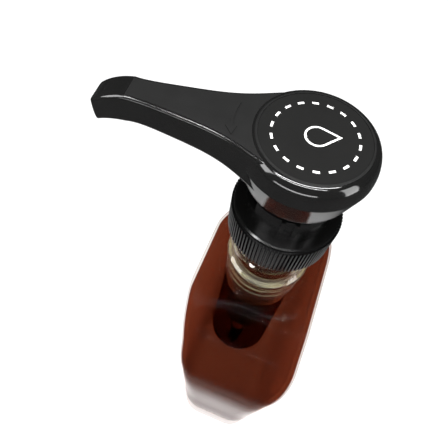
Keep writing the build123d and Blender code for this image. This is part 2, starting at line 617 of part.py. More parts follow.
def spout_body():
    """Solid spout: a smooth taper with a flat top, then a drooping tip with rounded corners."""
    root_half = HEAD_RIM_R - SPOUT_ROOT_INSET
    root = (SPOUT_ROOT_X, root_half, root_half + SPOUT_ROOT_STEP, SPOUT_ROOT_H)
    faces = [
        spout_face(across(x), top_half, bottom_half, SPOUT_TOP_Z - height, SPOUT_TOP_Z)
        for x, top_half, bottom_half, height in (root, *SPOUT_STATIONS)
    ]
    knee = spout_face(
        across(KNEE_X, KNEE_Z, KNEE_DROOP), KNEE_TOP_HALF, KNEE_BOTTOM_HALF,
        -KNEE_HEIGHT / 2, KNEE_HEIGHT / 2,
    )
    end = spout_face(
        across(TIP_X, TIP_Z, TIP_DROOP), TIP_TOP_HALF, TIP_BOTTOM_HALF,
        -TIP_HEIGHT / 2, TIP_HEIGHT / 2,
    )
    end_x = TIP_X + TIP_HEIGHT / 2 * sin(radians(TIP_DROOP))
    start_half = SPOUT_STATIONS[-1][2] + TIP_SLACK
    end_half = TIP_BOTTOM_HALF + TIP_SLACK
    plan = make_face(Polyline(
        (SPOUT_FLAT_END_X, -start_half), (end_x, -end_half), (end_x, end_half),
        (SPOUT_FLAT_END_X, start_half), close=True,
    ))
    plan = fillet(plan.vertices().group_by(Axis.X)[-1], TIP_CORNER)
    tip = loft([faces[-1], knee, end]) & Pos(0, 0, HEAD_BOTTOM_Z) * extrude(plan, 2 * HEAD_H)
    return loft(faces) + tip


def spout_channel():
    """The channel's hollow: along the spout, then down its drooping tip."""
    level = across(0, BORE_Z) * Circle(SPOUT_BORE_R)
    droop = across(BEND_X, BORE_Z, TIP_DROOP) * Circle(SPOUT_BORE_R)
    reach = (TIP_X - BEND_X) / cos(radians(TIP_DROOP)) + OVERCUT
    return extrude(level, BEND_X) + extrude(droop, reach) + Pos(BEND_X, 0, BORE_Z) * Sphere(SPOUT_BORE_R)


def head_outside():
    """Solid head: a tapering skirt with a rounded rim and a flat top."""
    rim_z = HEAD_TOP_Z - HEAD_ROUND_DROP
    crown_r = HEAD_R - HEAD_ROUND
    sides = Polyline(
        (crown_r, HEAD_TOP_Z), (0, HEAD_TOP_Z), (0, HEAD_BOTTOM_Z), (HEAD_RIM_R, HEAD_BOTTOM_Z),
        (HEAD_R, rim_z),
    )
    rounding = EllipticalCenterArc((crown_r, rim_z), HEAD_ROUND, HEAD_ROUND_DROP, 0, arc_size=90)
    return revolve(make_face(Plane.XZ * (sides + rounding)), Axis.Z)


def head_shell():
    """Head: tapering skirt, rounded rim with a seat for the disc, spout, boss and channel."""
    skirt_hollow = turned([
        (0, HEAD_BOTTOM_Z - OVERCUT),
        (SKIRT_BORE_R, HEAD_BOTTOM_Z - OVERCUT),
        (HEAD_R - HEAD_WALL - CEILING_INSET, CEILING_Z),
        (0, CEILING_Z),
    ])
    spout_outside = spout_body() - disc(HEAD_RIM_R - SPOUT_SINK, HEAD_BOTTOM_Z - OVERCUT, CEILING_Z)
    boss = disc(BOSS_R, BOSS_Z, CEILING_Z + BOSS_ROOT)
    duct = Pos(HEAD_R / 2, 0, BORE_Z) * Rot(0, 90, 0) * Cylinder(DUCT_R, HEAD_R)
    shell = head_outside() - skirt_hollow + spout_outside + boss + duct
    disc_seat_z = HEAD_TOP_Z - DISC_PROUD - DISC_THICK - SEAT_CLEAR
    shell -= disc(DISC_R + SEAT_CLEAR, disc_seat_z, HEAD_TOP_Z + OVERCUT)
    shell -= disc(STEM_R + SEAT_CLEAR, HEAD_BOTTOM_Z, STEM_TOP_Z + SEAT_CLEAR)
    shell -= disc(SPOUT_BORE_R, STEM_TOP_Z, BORE_Z)
    return Rot(0, 0, HEAD_TURN) * (shell - spout_channel())


def top_disc():
    """Flat satin disc let into the top of the head."""
    high = HEAD_TOP_Z - DISC_PROUD
    return disc(DISC_R, high - DISC_THICK, high)


PARTS = {
    "bottle": bottle,
    "syrup": syrup,
    "closure_cap": closure_cap,
    "gasket": gasket,
    "pump_housing": pump_housing,
    "slotted_collar": slotted_collar,
    "stem_wiper": stem_wiper,
    "stem": stem,
    "piston": piston,
    "piston_seal": piston_seal,
    "outlet_ball": outlet_ball,
    "ball_retainer": ball_retainer,
    "return_spring": return_spring,
    "spring_seat": spring_seat,
    "ball_cage": ball_cage,
    "inlet_ball": inlet_ball,
    "dip_tube": dip_tube,
    "head_shell": head_shell,
    "top_disc": top_disc,
}


def main():
    """Build every piece and write one STEP file for each."""
    os.makedirs("parts", exist_ok=True)
    for name, make in PARTS.items():
        shape = make()
        export_step(shape, f"parts/{name}.step")
        print(name, round(shape.volume / 1000, 2), "cm3")


main()
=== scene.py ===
"""Push-pump syrup dispenser: finishes, raised and printed details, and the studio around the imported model.

Lengths are in metres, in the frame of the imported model: +Z up, the pump axis is x = y = 0,
the table is z = 0, and the spout points about 5 degrees away from +X.
"""

from __future__ import annotations

import logging
import math
from dataclasses import dataclass
from enum import Enum

import bmesh
import bpy
from mathutils import Matrix, Vector

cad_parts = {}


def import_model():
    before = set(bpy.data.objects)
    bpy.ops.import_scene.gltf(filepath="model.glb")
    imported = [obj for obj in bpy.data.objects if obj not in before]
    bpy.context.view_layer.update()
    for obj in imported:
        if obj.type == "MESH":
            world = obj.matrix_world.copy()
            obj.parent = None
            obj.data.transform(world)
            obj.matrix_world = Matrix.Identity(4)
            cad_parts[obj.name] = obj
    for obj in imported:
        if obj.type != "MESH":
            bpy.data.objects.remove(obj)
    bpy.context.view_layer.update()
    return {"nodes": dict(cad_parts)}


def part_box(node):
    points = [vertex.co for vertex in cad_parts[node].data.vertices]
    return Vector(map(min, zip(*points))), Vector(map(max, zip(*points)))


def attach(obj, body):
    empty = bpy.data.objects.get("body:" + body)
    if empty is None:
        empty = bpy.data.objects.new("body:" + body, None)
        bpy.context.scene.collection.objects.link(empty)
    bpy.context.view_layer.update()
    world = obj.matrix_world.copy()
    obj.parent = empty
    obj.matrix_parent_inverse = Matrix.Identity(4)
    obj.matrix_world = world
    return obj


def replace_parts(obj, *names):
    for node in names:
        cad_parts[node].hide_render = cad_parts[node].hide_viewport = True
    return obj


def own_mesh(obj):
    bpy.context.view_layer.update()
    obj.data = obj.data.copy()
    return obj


LOG = logging.getLogger("syrup_dispenser")
MM = 0.001

Color = tuple[float, float, float]
Point = tuple[float, float, float]
Flat = tuple[float, float]
Span = tuple[float, float]


class Body(Enum):
    """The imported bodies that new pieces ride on."""

    BOTTLE = "bottle"
    PUMP = "pump"
    HEAD = "head"


class Slot(Enum):
    """The record's material slots, named with each new piece."""

    BLACK_GLOSS = "black_gloss"
    BLACK_SATIN = "black_satin"
    SYRUP = "syrup"
    STEEL = "steel"


class NodeSketch:
    """A node tree, with short calls to add and join nodes."""

    def __init__(self, tree: bpy.types.NodeTree) -> None:
        """Empties a node tree.

        Args:
            tree: the tree to draw in.
        """
        self.tree = tree
        tree.nodes.clear()

    def add(self, kind: str, **values: object) -> bpy.types.Node:
        """Adds a node.

        Args:
            kind: the node's type name.
            values: node properties, or socket values by their name with spaces as underscores.

        Returns:
            The new node.
        """
        node = self.tree.nodes.new(kind)
        for key, value in values.items():
            if hasattr(node, key):
                setattr(node, key, value)
            else:
                node.inputs[key.replace("_", " ")].default_value = value
        return node

    def join(self, source: bpy.types.NodeSocket, target: bpy.types.NodeSocket) -> None:
        """Links an output socket to an input socket."""
        self.tree.links.new(source, target)

    def place(self) -> bpy.types.NodeSocket:
        """Gives object coordinates, which are the model's own metres."""
        return self.add("ShaderNodeTexCoord").outputs["Object"]

    def upward(self, kind: str = "Object") -> bpy.types.NodeSocket:
        """Gives the Z of a point's coordinates.

        Args:
            kind: which coordinates: Object for the level, Normal or Generated for a direction.

        Returns:
            The value socket.
        """
        parts = self.add("ShaderNodeSeparateXYZ")
        self.join(self.add("ShaderNodeTexCoord").outputs[kind], parts.inputs[0])
        return parts.outputs["Z"]

    def noise(self, scale: float, detail: float = 3.0) -> bpy.types.NodeSocket:
        """Adds a noise pattern on the model's own coordinates.

        Args:
            scale: features per metre.
            detail: octaves.

        Returns:
            The pattern's value socket.
        """
        node = self.add("ShaderNodeTexNoise", Scale=scale, Detail=detail)
        self.join(self.place(), node.inputs["Vector"])
        return node.outputs["Fac"]

    def spread(self, value: bpy.types.NodeSocket, low: float, high: float,
               start: float = 0.0, end: float = 1.0) -> bpy.types.NodeSocket:
        """Maps a value from start..end to low..high.

        Args:
            value: the socket to map.
            low: result at start.
            high: result at end.
            start: value that gives low.
            end: value that gives high.

        Returns:
            The mapped value socket.
        """
        node = self.add("ShaderNodeMapRange", From_Min=start, From_Max=end, To_Min=low, To_Max=high)
        self.join(value, node.inputs["Value"])
        return node.outputs["Result"]

    def mix(self, share: bpy.types.NodeSocket, first: Color | bpy.types.NodeSocket,
            second: Color | bpy.types.NodeSocket) -> bpy.types.NodeSocket:
        """Mixes two colours.

        Args:
            share: gives the first colour at 0 and the second at 1.
            first: a colour or a colour socket.
            second: a colour or a colour socket.

        Returns:
            The colour socket.
        """
        node = self.add("ShaderNodeMix", data_type="RGBA")
        self.join(share, node.inputs["Factor"])
        sockets = [socket for socket in node.inputs if socket.type == "RGBA"]
        for socket, color in zip(sockets, (first, second)):
            if isinstance(color, tuple):
                socket.default_value = (*color, 1.0)
            else:
                self.join(color, socket)
        return next(socket for socket in node.outputs if socket.type == "RGBA")

    def mix_values(self, share: bpy.types.NodeSocket, first: bpy.types.NodeSocket,
                   second: bpy.types.NodeSocket) -> bpy.types.NodeSocket:
        """Mixes two value sockets.

        Args:
            share: gives the first value at 0 and the second at 1.
            first: a value socket.
            second: a value socket.

        Returns:
            The value socket.
        """
        node = self.add("ShaderNodeMix", data_type="FLOAT")
        factor, _, low, high = node.inputs[:4]
        for source, target in ((share, factor), (first, low), (second, high)):
            self.join(source, target)
        return node.outputs[0]

    def math(self, operation: str, first: bpy.types.NodeSocket,
             second: bpy.types.NodeSocket | float = 0.0) -> bpy.types.NodeSocket:
        """Adds a math node.

        Args:
            operation: the node's operation.
            first: the first value.
            second: the second value, a socket or a number.

        Returns:
            The value socket.
        """
        node = self.add("ShaderNodeMath", operation=operation)
        self.join(first, node.inputs[0])
        if isinstance(second, float):
            node.inputs[1].default_value = second
        else:
            self.join(second, node.inputs[1])
        return node.outputs[0]

    def bump(self, height: bpy.types.NodeSocket, strength: float, depth: float) -> bpy.types.NodeSocket:
        """Turns a height pattern into a normal.

        Args:
            height: the pattern, 0 to 1.
            strength: share of the effect.
            depth: metres between the pattern's 0 and 1.

        Returns:
            The normal socket.
        """
        node = self.add("ShaderNodeBump", Strength=strength, Distance=depth)
        self.join(height, node.inputs["Height"])
        return node.outputs["Normal"]


class MaterialSketch(NodeSketch):
    """A new material's node tree, with its output node."""

    def __init__(self, name: str) -> None:
        """Starts an empty material.

        Args:
            name: the material's name.
        """
        self.material = bpy.data.materials.new(name)
        self.material.use_nodes = True
        super().__init__(self.material.node_tree)
        self.output = self.add("ShaderNodeOutputMaterial")

    def surface(self, **values: object) -> bpy.types.Node:
        """Covers the surface with a principled shader.

        Args:
            values: socket values by their name with spaces as underscores.

        Returns:
            The shader node.
        """
        shader = self.add("ShaderNodeBsdfPrincipled", **values)
        self.join(shader.outputs[0], self.output.inputs["Surface"])
        return shader


@dataclass(frozen=True)
class BlackPlastic:
    """Moulded black plastic: faint cloudiness, a fine grain, and level faces on top that may be satin."""

    name: str
    color: Color = (0.0012, 0.0012, 0.0012)
    worn: Color = (0.0025, 0.0025, 0.0024)
    cloud_scale: float = 70.0
    cloud_detail: float = 4.0
    rough: Span = (0.12, 0.2)
    rough_scale: float = 190.0
    rough_detail: float = 5.0
    grain_scale: float = 2600.0
    grain_detail: float = 2.0
    grain_depth: float = 0.02 * MM
    grain_strength: float = 0.12
    specular: float = 0.5
    satin_top: bool = False
    satin_rough: Span = (0.42, 0.5)
    satin_scale: float = 260.0
    satin_level: Span = (0.97, 0.995)

    def make(self) -> bpy.types.Material:
        """Builds the material.

        Returns:
            The finished material.
        """
        sketch = MaterialSketch(self.name)
        shader = sketch.surface(Specular_IOR_Level=self.specular)
        cloud = sketch.noise(self.cloud_scale, self.cloud_detail)
        sketch.join(sketch.mix(cloud, self.color, self.worn), shader.inputs["Base Color"])
        rough = sketch.spread(sketch.noise(self.rough_scale, self.rough_detail), *self.rough)
        if self.satin_top:
            share = sketch.spread(sketch.upward("Normal"), 0.0, 1.0, *self.satin_level)
            satin = sketch.spread(sketch.noise(self.satin_scale, self.rough_detail), *self.satin_rough)
            rough = sketch.mix_values(share, rough, satin)
        sketch.join(rough, shader.inputs["Roughness"])
        grain = sketch.noise(self.grain_scale, self.grain_detail)
        sketch.join(sketch.bump(grain, self.grain_strength, self.grain_depth), shader.inputs["Normal"])
        return sketch.material


@dataclass(frozen=True)
class ClearGlass:
    """Clear bottle glass: yellow-green at the neck with painted highlight rings at its beads, pinkish in the
    body, with a faint ripple.

    The coat is full at the neck (gloss), faint on the shoulder, and stronger near the foot (side_gloss),
    which makes the pale lower edge. Light goes straight through, because the index of refraction is 1.
    """

    name: str = "clear_glass"
    body: Color = (0.92, 0.87, 0.85)
    body_edge: Color = (0.60, 0.44, 0.40)
    neck: Color = (0.95, 0.95, 0.82)
    neck_edge: Color = (0.42, 0.39, 0.18)
    neck_levels: Span = (150.0 * MM, 160.0 * MM)
    edge: Span = (0.55, 1.0)
    edge_blend: float = 0.5
    # painted highlight: pale yellow-green bands of less clear glass at the neck's beads, standing in for the
    # bright arcs that thick glass refracts there
    highlight_rings: tuple[Span, ...] = (
        (176.5 * MM, 0.8 * MM), (173.8 * MM, 0.6 * MM), (169.0 * MM, 0.7 * MM), (164.0 * MM, 0.7 * MM),
    )
    ring_highlight_color: Color = (0.58, 0.53, 0.24)
    ring_highlight_clear: float = 0.7
    ring_highlight_patch: Span = (0.35, 1.0)
    patch_scale: float = 150.0
    patch_detail: float = 2.0
    patch_span: Span = (0.35, 0.6)
    ior: float = 1.0
    gloss: Span = (0.02, 1.0)
    gloss_levels: Span = (158.0 * MM, 164.0 * MM)
    side_gloss: Span = (0.6, 0.02)
    side_levels: Span = (75.0 * MM, 100.0 * MM)
    gloss_rough: float = 0.08
    rim_glow: float = 0.10
    rim_spread: float = 0.2
    rim_tint: Color = (1.0, 0.84, 0.78)
    ripple_scale: float = 45.0
    ripple_detail: float = 2.0
    ripple_strength: float = 0.25
    ripple_depth: float = 0.4 * MM

    def make(self) -> bpy.types.Material:
        """Builds the material.

        Returns:
            The finished material.
        """
        sketch = MaterialSketch(self.name)
        shader = sketch.surface(
            Roughness=0.0, IOR=self.ior, Coat_Roughness=self.gloss_rough, Sheen_Weight=self.rim_glow,
            Sheen_Roughness=self.rim_spread, Sheen_Tint=(*self.rim_tint, 1.0),
        )
        level = sketch.upward()
        glow = self.painted_ring_highlight(sketch, level)
        sketch.join(self.tint(sketch, level, glow), shader.inputs["Base Color"])
        # painted highlight: at the rings the glass lets less light through and shows the pale ring colour
        sketch.join(sketch.spread(glow, 1.0, self.ring_highlight_clear), shader.inputs["Transmission Weight"])
        neck_shine = sketch.spread(level, *self.gloss, *self.gloss_levels)
        side_shine = sketch.spread(level, *self.side_gloss, *self.side_levels)
        sketch.join(sketch.math("MAXIMUM", neck_shine, side_shine), shader.inputs["Coat Weight"])
        ripple = sketch.noise(self.ripple_scale, self.ripple_detail)
        sketch.join(sketch.bump(ripple, self.ripple_strength, self.ripple_depth), shader.inputs["Normal"])
        return sketch.material

    def tint(self, sketch: MaterialSketch, level: bpy.types.NodeSocket,
             glow: bpy.types.NodeSocket) -> bpy.types.NodeSocket:
        """Gives the glass its tint, deeper where it is seen edge on, with the painted ring highlights mixed in.

        Args:
            sketch: the material's node sketch.
            level: the point's level.
            glow: the share of painted ring highlight.

        Returns:
            The colour socket.
        """
        share = sketch.spread(level, 0.0, 1.0, *self.neck_levels)
        facing = sketch.add("ShaderNodeLayerWeight", Blend=self.edge_blend).outputs["Facing"]
        face_on = sketch.mix(share, self.body, self.neck)
        edge_on = sketch.mix(share, self.body_edge, self.neck_edge)
        clear = sketch.mix(sketch.spread(facing, 0.0, 1.0, *self.edge), face_on, edge_on)
        return sketch.mix(glow, clear, self.ring_highlight_color)

    def painted_ring_highlight(self, sketch: MaterialSketch, level: bpy.types.NodeSocket) -> bpy.types.NodeSocket:
        """Finds how much painted ring highlight lies on a point of the neck, broken up by patches.

        Args:
            sketch: the material's node sketch.
            level: the point's level.

        Returns:
            The share of painted ring highlight, 0 to 1.
        """
        glow = None
        for middle, half in self.highlight_rings:
            offset = sketch.math("ABSOLUTE", sketch.math("SUBTRACT", level, middle))
            highlight_band = sketch.spread(offset, 1.0, 0.0, 0.0, half)
            glow = highlight_band if glow is None else sketch.math("MAXIMUM", glow, highlight_band)
        patches = sketch.noise(self.patch_scale, self.patch_detail)
        return sketch.math("MULTIPLY", glow, sketch.spread(patches, *self.ring_highlight_patch, *self.patch_span))


@dataclass(frozen=True)
class DarkSyrup:
    """Brown syrup, redder and lighter towards the shoulder."""

    name: str = "dark_syrup"
    low: Color = (0.085, 0.020, 0.009)
    high: Color = (0.165, 0.036, 0.016)
    levels: Span = (20.0 * MM, 130.0 * MM)
    ior: float = 1.0

    def make(self) -> bpy.types.Material:
        """Builds the material.

        Returns:
            The finished material.
        """
        sketch = MaterialSketch(self.name)
        shader = sketch.surface(Roughness=0.0, IOR=self.ior, Transmission_Weight=1.0)
        share = sketch.spread(sketch.upward(), 0.0, 1.0, *self.levels)
        sketch.join(sketch.mix(share, self.low, self.high), shader.inputs["Base Color"])
        return sketch.material


@dataclass(frozen=True)
class PaleMoulding:
    """Pale plastic or seal with a soft cloudiness and a fine grain."""

    name: str
    light: Color
    dark: Color
    rough: Span = (0.35, 0.5)
    subsurface: float = 0.0
    subsurface_reach: float = 2.0 * MM
    cloud_scale: float = 120.0
    rough_scale: float = 400.0
    grain_scale: float = 3000.0
    grain_strength: float = 0.15
    grain_depth: float = 0.02 * MM

    def make(self) -> bpy.types.Material:
        """Builds the material.

        Returns:
            The finished material.
        """
        sketch = MaterialSketch(self.name)
        shader = sketch.surface(Subsurface_Weight=self.subsurface, Subsurface_Scale=self.subsurface_reach)
        cloud = sketch.noise(self.cloud_scale)
        sketch.join(sketch.mix(cloud, self.light, self.dark), shader.inputs["Base Color"])
        sketch.join(sketch.spread(sketch.noise(self.rough_scale), *self.rough), shader.inputs["Roughness"])
        grain = sketch.noise(self.grain_scale)
        sketch.join(sketch.bump(grain, self.grain_strength, self.grain_depth), shader.inputs["Normal"])
        return sketch.material


@dataclass(frozen=True)
class BrightSteel:
    """Drawn stainless wire and ground steel balls, with fine draw marks."""

    name: str = "bright_steel"
    color: Color = (0.62, 0.62, 0.63)
    dull: Color = (0.45, 0.45, 0.46)
    dull_scale: float = 900.0
    rough: Span = (0.12, 0.28)
    mark_scale: float = 1500.0
    mark_detail: float = 6.0

    def make(self) -> bpy.types.Material:
        """Builds the material.

        Returns:
            The finished material.
        """
        sketch = MaterialSketch(self.name)
        shader = sketch.surface(Metallic=1.0)
        dull = sketch.noise(self.dull_scale)
        sketch.join(sketch.mix(dull, self.color, self.dull), shader.inputs["Base Color"])
        marks = sketch.noise(self.mark_scale, self.mark_detail)
        sketch.join(sketch.spread(marks, *self.rough), shader.inputs["Roughness"])
        return sketch.material


@dataclass(frozen=True)
class PrintedInk:
    """White screen-printed ink with tiny pinholes and slightly uneven cover."""

    name: str = "white_ink"
    color: Color = (0.80, 0.80, 0.78)
    thin: Color = (0.55, 0.55, 0.54)
    rough: float = 0.5
    hole_scale: float = 2400.0
    hole_detail: float = 4.0
    hole_span: Span = (0.62, 0.72)

    def make(self) -> bpy.types.Material:
        """Builds the material.

        Returns:
            The finished material.
        """
        sketch = MaterialSketch(self.name)
        shader = sketch.surface(Roughness=self.rough)
        cover = sketch.spread(sketch.noise(self.hole_scale, self.hole_detail), 0.0, 1.0, *self.hole_span)
        sketch.join(sketch.mix(cover, self.color, self.thin), shader.inputs["Base Color"])
        return sketch.material


class Piece:
    """Makes objects and puts mesh pieces on a body."""

    @staticmethod
    def link(name: str, data: bpy.types.ID) -> bpy.types.Object:
        """Makes an object and links it to the scene.

        Args:
            name: the object's name.
            data: its mesh, camera or lamp.

        Returns:
            The new object.
        """
        made = bpy.data.objects.new(name, data)
        bpy.context.scene.collection.objects.link(made)
        return made

    @staticmethod
    def prism(name: str, outline: list[Flat], low: float, high: float,
              hole: list[Flat] | None = None) -> bpy.types.Object:
        """Makes an upright prism on a closed outline, with an optional hole of as many points.

        Args:
            name: the object's name.
            outline: corner points (x, y).
            low: bottom level.
            high: top level.
            hole: corner points of a hole, one for each outline point.

        Returns:
            The new object.
        """
        mesh = bpy.data.meshes.new(name)
        shape = bmesh.new()
        foot, top = ([shape.verts.new((x, y, level)) for x, y in outline] for level in (low, high))
        bands = [(foot, top)]
        if hole:
            hole_foot, hole_top = ([shape.verts.new((x, y, level)) for x, y in hole] for level in (low, high))
            bands += [(hole_top, hole_foot), (top, hole_top), (hole_foot, foot)]
        else:
            shape.faces.new(top)
            shape.faces.new(foot[::-1])
        for lower, upper in bands:
            for first, second in zip(range(-1, len(outline) - 1), range(len(outline))):
                shape.faces.new((lower[first], lower[second], upper[second], upper[first]))
        bmesh.ops.recalc_face_normals(shape, faces=shape.faces)
        shape.to_mesh(mesh)
        shape.free()
        return Piece.link(name, mesh)

    @staticmethod
    def joined(name: str, parts: list[bpy.types.Object]) -> bpy.types.Object:
        """Joins several mesh objects in one.

        Args:
            name: the joined object's name.
            parts: the objects, which are used up.

        Returns:
            The joined object.
        """
        mesh = bpy.data.meshes.new(name)
        shape = bmesh.new()
        for part in parts:
            shape.from_mesh(part.data)
            bpy.data.objects.remove(part)
        shape.to_mesh(mesh)
        shape.free()
        return Piece.link(name, mesh)

    @staticmethod
    def seat(piece: bpy.types.Object, body: Body, slot: Slot, material: bpy.types.Material) -> None:
        """Finishes a piece, puts it on its body and reports it.

        Args:
            piece: the object.
            body: the body that it rides on.
            slot: the record's slot of its finish; not used.
            material: its material.
        """
        piece.data.materials.clear()
        piece.data.materials.append(material)
        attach(piece, body.value)
        LOG.info("piece %s on %s: %d faces", piece.name, body.value, len(piece.data.polygons))


@dataclass
class SubAssembly:
    """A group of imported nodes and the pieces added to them."""

    nodes: dict[str, bpy.types.Object]

    def build(self) -> None:
        """Dresses the nodes and adds the pieces; each sub-assembly has its own."""
        raise NotImplementedError

    def dress(self, material: bpy.types.Material, *names: str) -> None:
        """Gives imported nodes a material.

        Args:
            material: the material.
            names: the nodes' names.
        """
        for name in names:
            node = self.nodes[name]
            node.data.materials.clear()
            node.data.materials.append(material)
            LOG.info("node %s: %s", name, material.name)


@dataclass
class BottleLooks(SubAssembly):
    """The clear bottle and its syrup, which wets the glass all over.

    The syrup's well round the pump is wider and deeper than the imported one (the core sizes), so that the pump
    looks as large as it does through real syrup.
    """

    wet: float = 2.6 * MM
    merge_gap: float = 0.001 * MM
    level_margin: float = 0.05 * MM
    well_radius: float = 15.5 * MM
    core_top: float = 17.0 * MM
    core_radius: float = 19.0 * MM
    core_foot: float = 56.0 * MM
    core_step: float = 2.0 * MM
    core_split: float = 10.0 * MM
    cage_level: float = 85.0 * MM

    def build(self) -> None:
        """Dresses the bottle and fills it."""
        self.dress(ClearGlass().make(), "bottle")
        Piece.seat(self.fill(), Body.BOTTLE, Slot.SYRUP, DarkSyrup().make())

    def fill(self) -> bpy.types.Object:
        """Makes the syrup's visible form, which reaches into the glass so that no air film shows.

        Returns:
            The syrup piece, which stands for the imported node.
        """
        mesh = self.nodes["syrup"].data.copy()
        mesh.name = "syrup_fill"
        shape = bmesh.new()
        shape.from_mesh(mesh)
        bmesh.ops.remove_doubles(shape, verts=shape.verts, dist=self.merge_gap)
        shape.normal_update()
        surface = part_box("syrup")[1].z
        moves = []
        for corner in shape.verts:
            top = corner.co.z > surface - self.level_margin
            if math.hypot(corner.co.x, corner.co.y) < self.well_radius:
                self.magnify(corner, top)
                continue
            step = corner.normal.copy()
            if top:
                step.z = 0.0
            moves.append((corner, step.normalized() * self.wet))
        for corner, step in moves:
            corner.co += step
        shape.to_mesh(mesh)
        shape.free()
        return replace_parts(Piece.link("syrup_fill", mesh), "syrup")

    def magnify(self, corner: bmesh.types.BMVert, top: bool) -> None:
        """Moves a corner of the pump's well outward and down.

        Args:
            corner: the corner.
            top: whether the corner is in the syrup's surface.
        """
        if corner.co.z < self.core_foot:
            return
        radius = math.hypot(corner.co.x, corner.co.y)
        if radius < self.core_split:
            corner.co.z = self.core_foot - (0.0 if corner.co.z > self.cage_level else self.core_step)
            return
        grow = (self.core_top if top else self.core_radius) / radius
        corner.co.x *= grow
        corner.co.y *= grow
        if not top:
            corner.co.z = self.core_foot


@dataclass
class ClosureLooks(SubAssembly):
    """The knurled screw closure."""

    def build(self) -> None:
        """Dresses the closure."""
        self.dress(BlackPlastic("black_knurl", specular=0.26).make(), "closure_cap")


@dataclass
class PumpLooks(SubAssembly):
    """The pump body, its collar, seals, rod, spring and balls."""

    spring_foot: float = 101.05 * MM
    stroke: float = 15.5 * MM

    def build(self) -> None:
        """Dresses every piece of the pump."""
        self.dress(BlackPlastic("black_plastic", specular=0.3).make(), "pump_housing", "slotted_collar")
        natural = PaleMoulding(
            "natural_plastic", light=(0.80, 0.80, 0.76), dark=(0.70, 0.70, 0.66), subsurface=0.2,
        )
        self.dress(natural.make(), "stem", "piston", "ball_retainer", "spring_seat", "ball_cage", "dip_tube")
        seal = PaleMoulding("soft_seal", light=(0.62, 0.62, 0.58), dark=(0.50, 0.50, 0.47), rough=(0.55, 0.7))
        self.dress(seal.make(), "gasket", "stem_wiper", "piston_seal")
        steel = BrightSteel().make()
        self.dress(steel, "outlet_ball", "inlet_ball")
        self.coil_spring(steel)

    def coil_spring(self, steel: bpy.types.Material) -> None:
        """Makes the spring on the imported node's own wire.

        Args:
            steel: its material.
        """
        spring = Piece.link("coil_spring", self.nodes["return_spring"].data.copy())
        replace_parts(spring, "return_spring")
        Piece.seat(spring, Body.PUMP, Slot.STEEL, steel)
        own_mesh(spring)


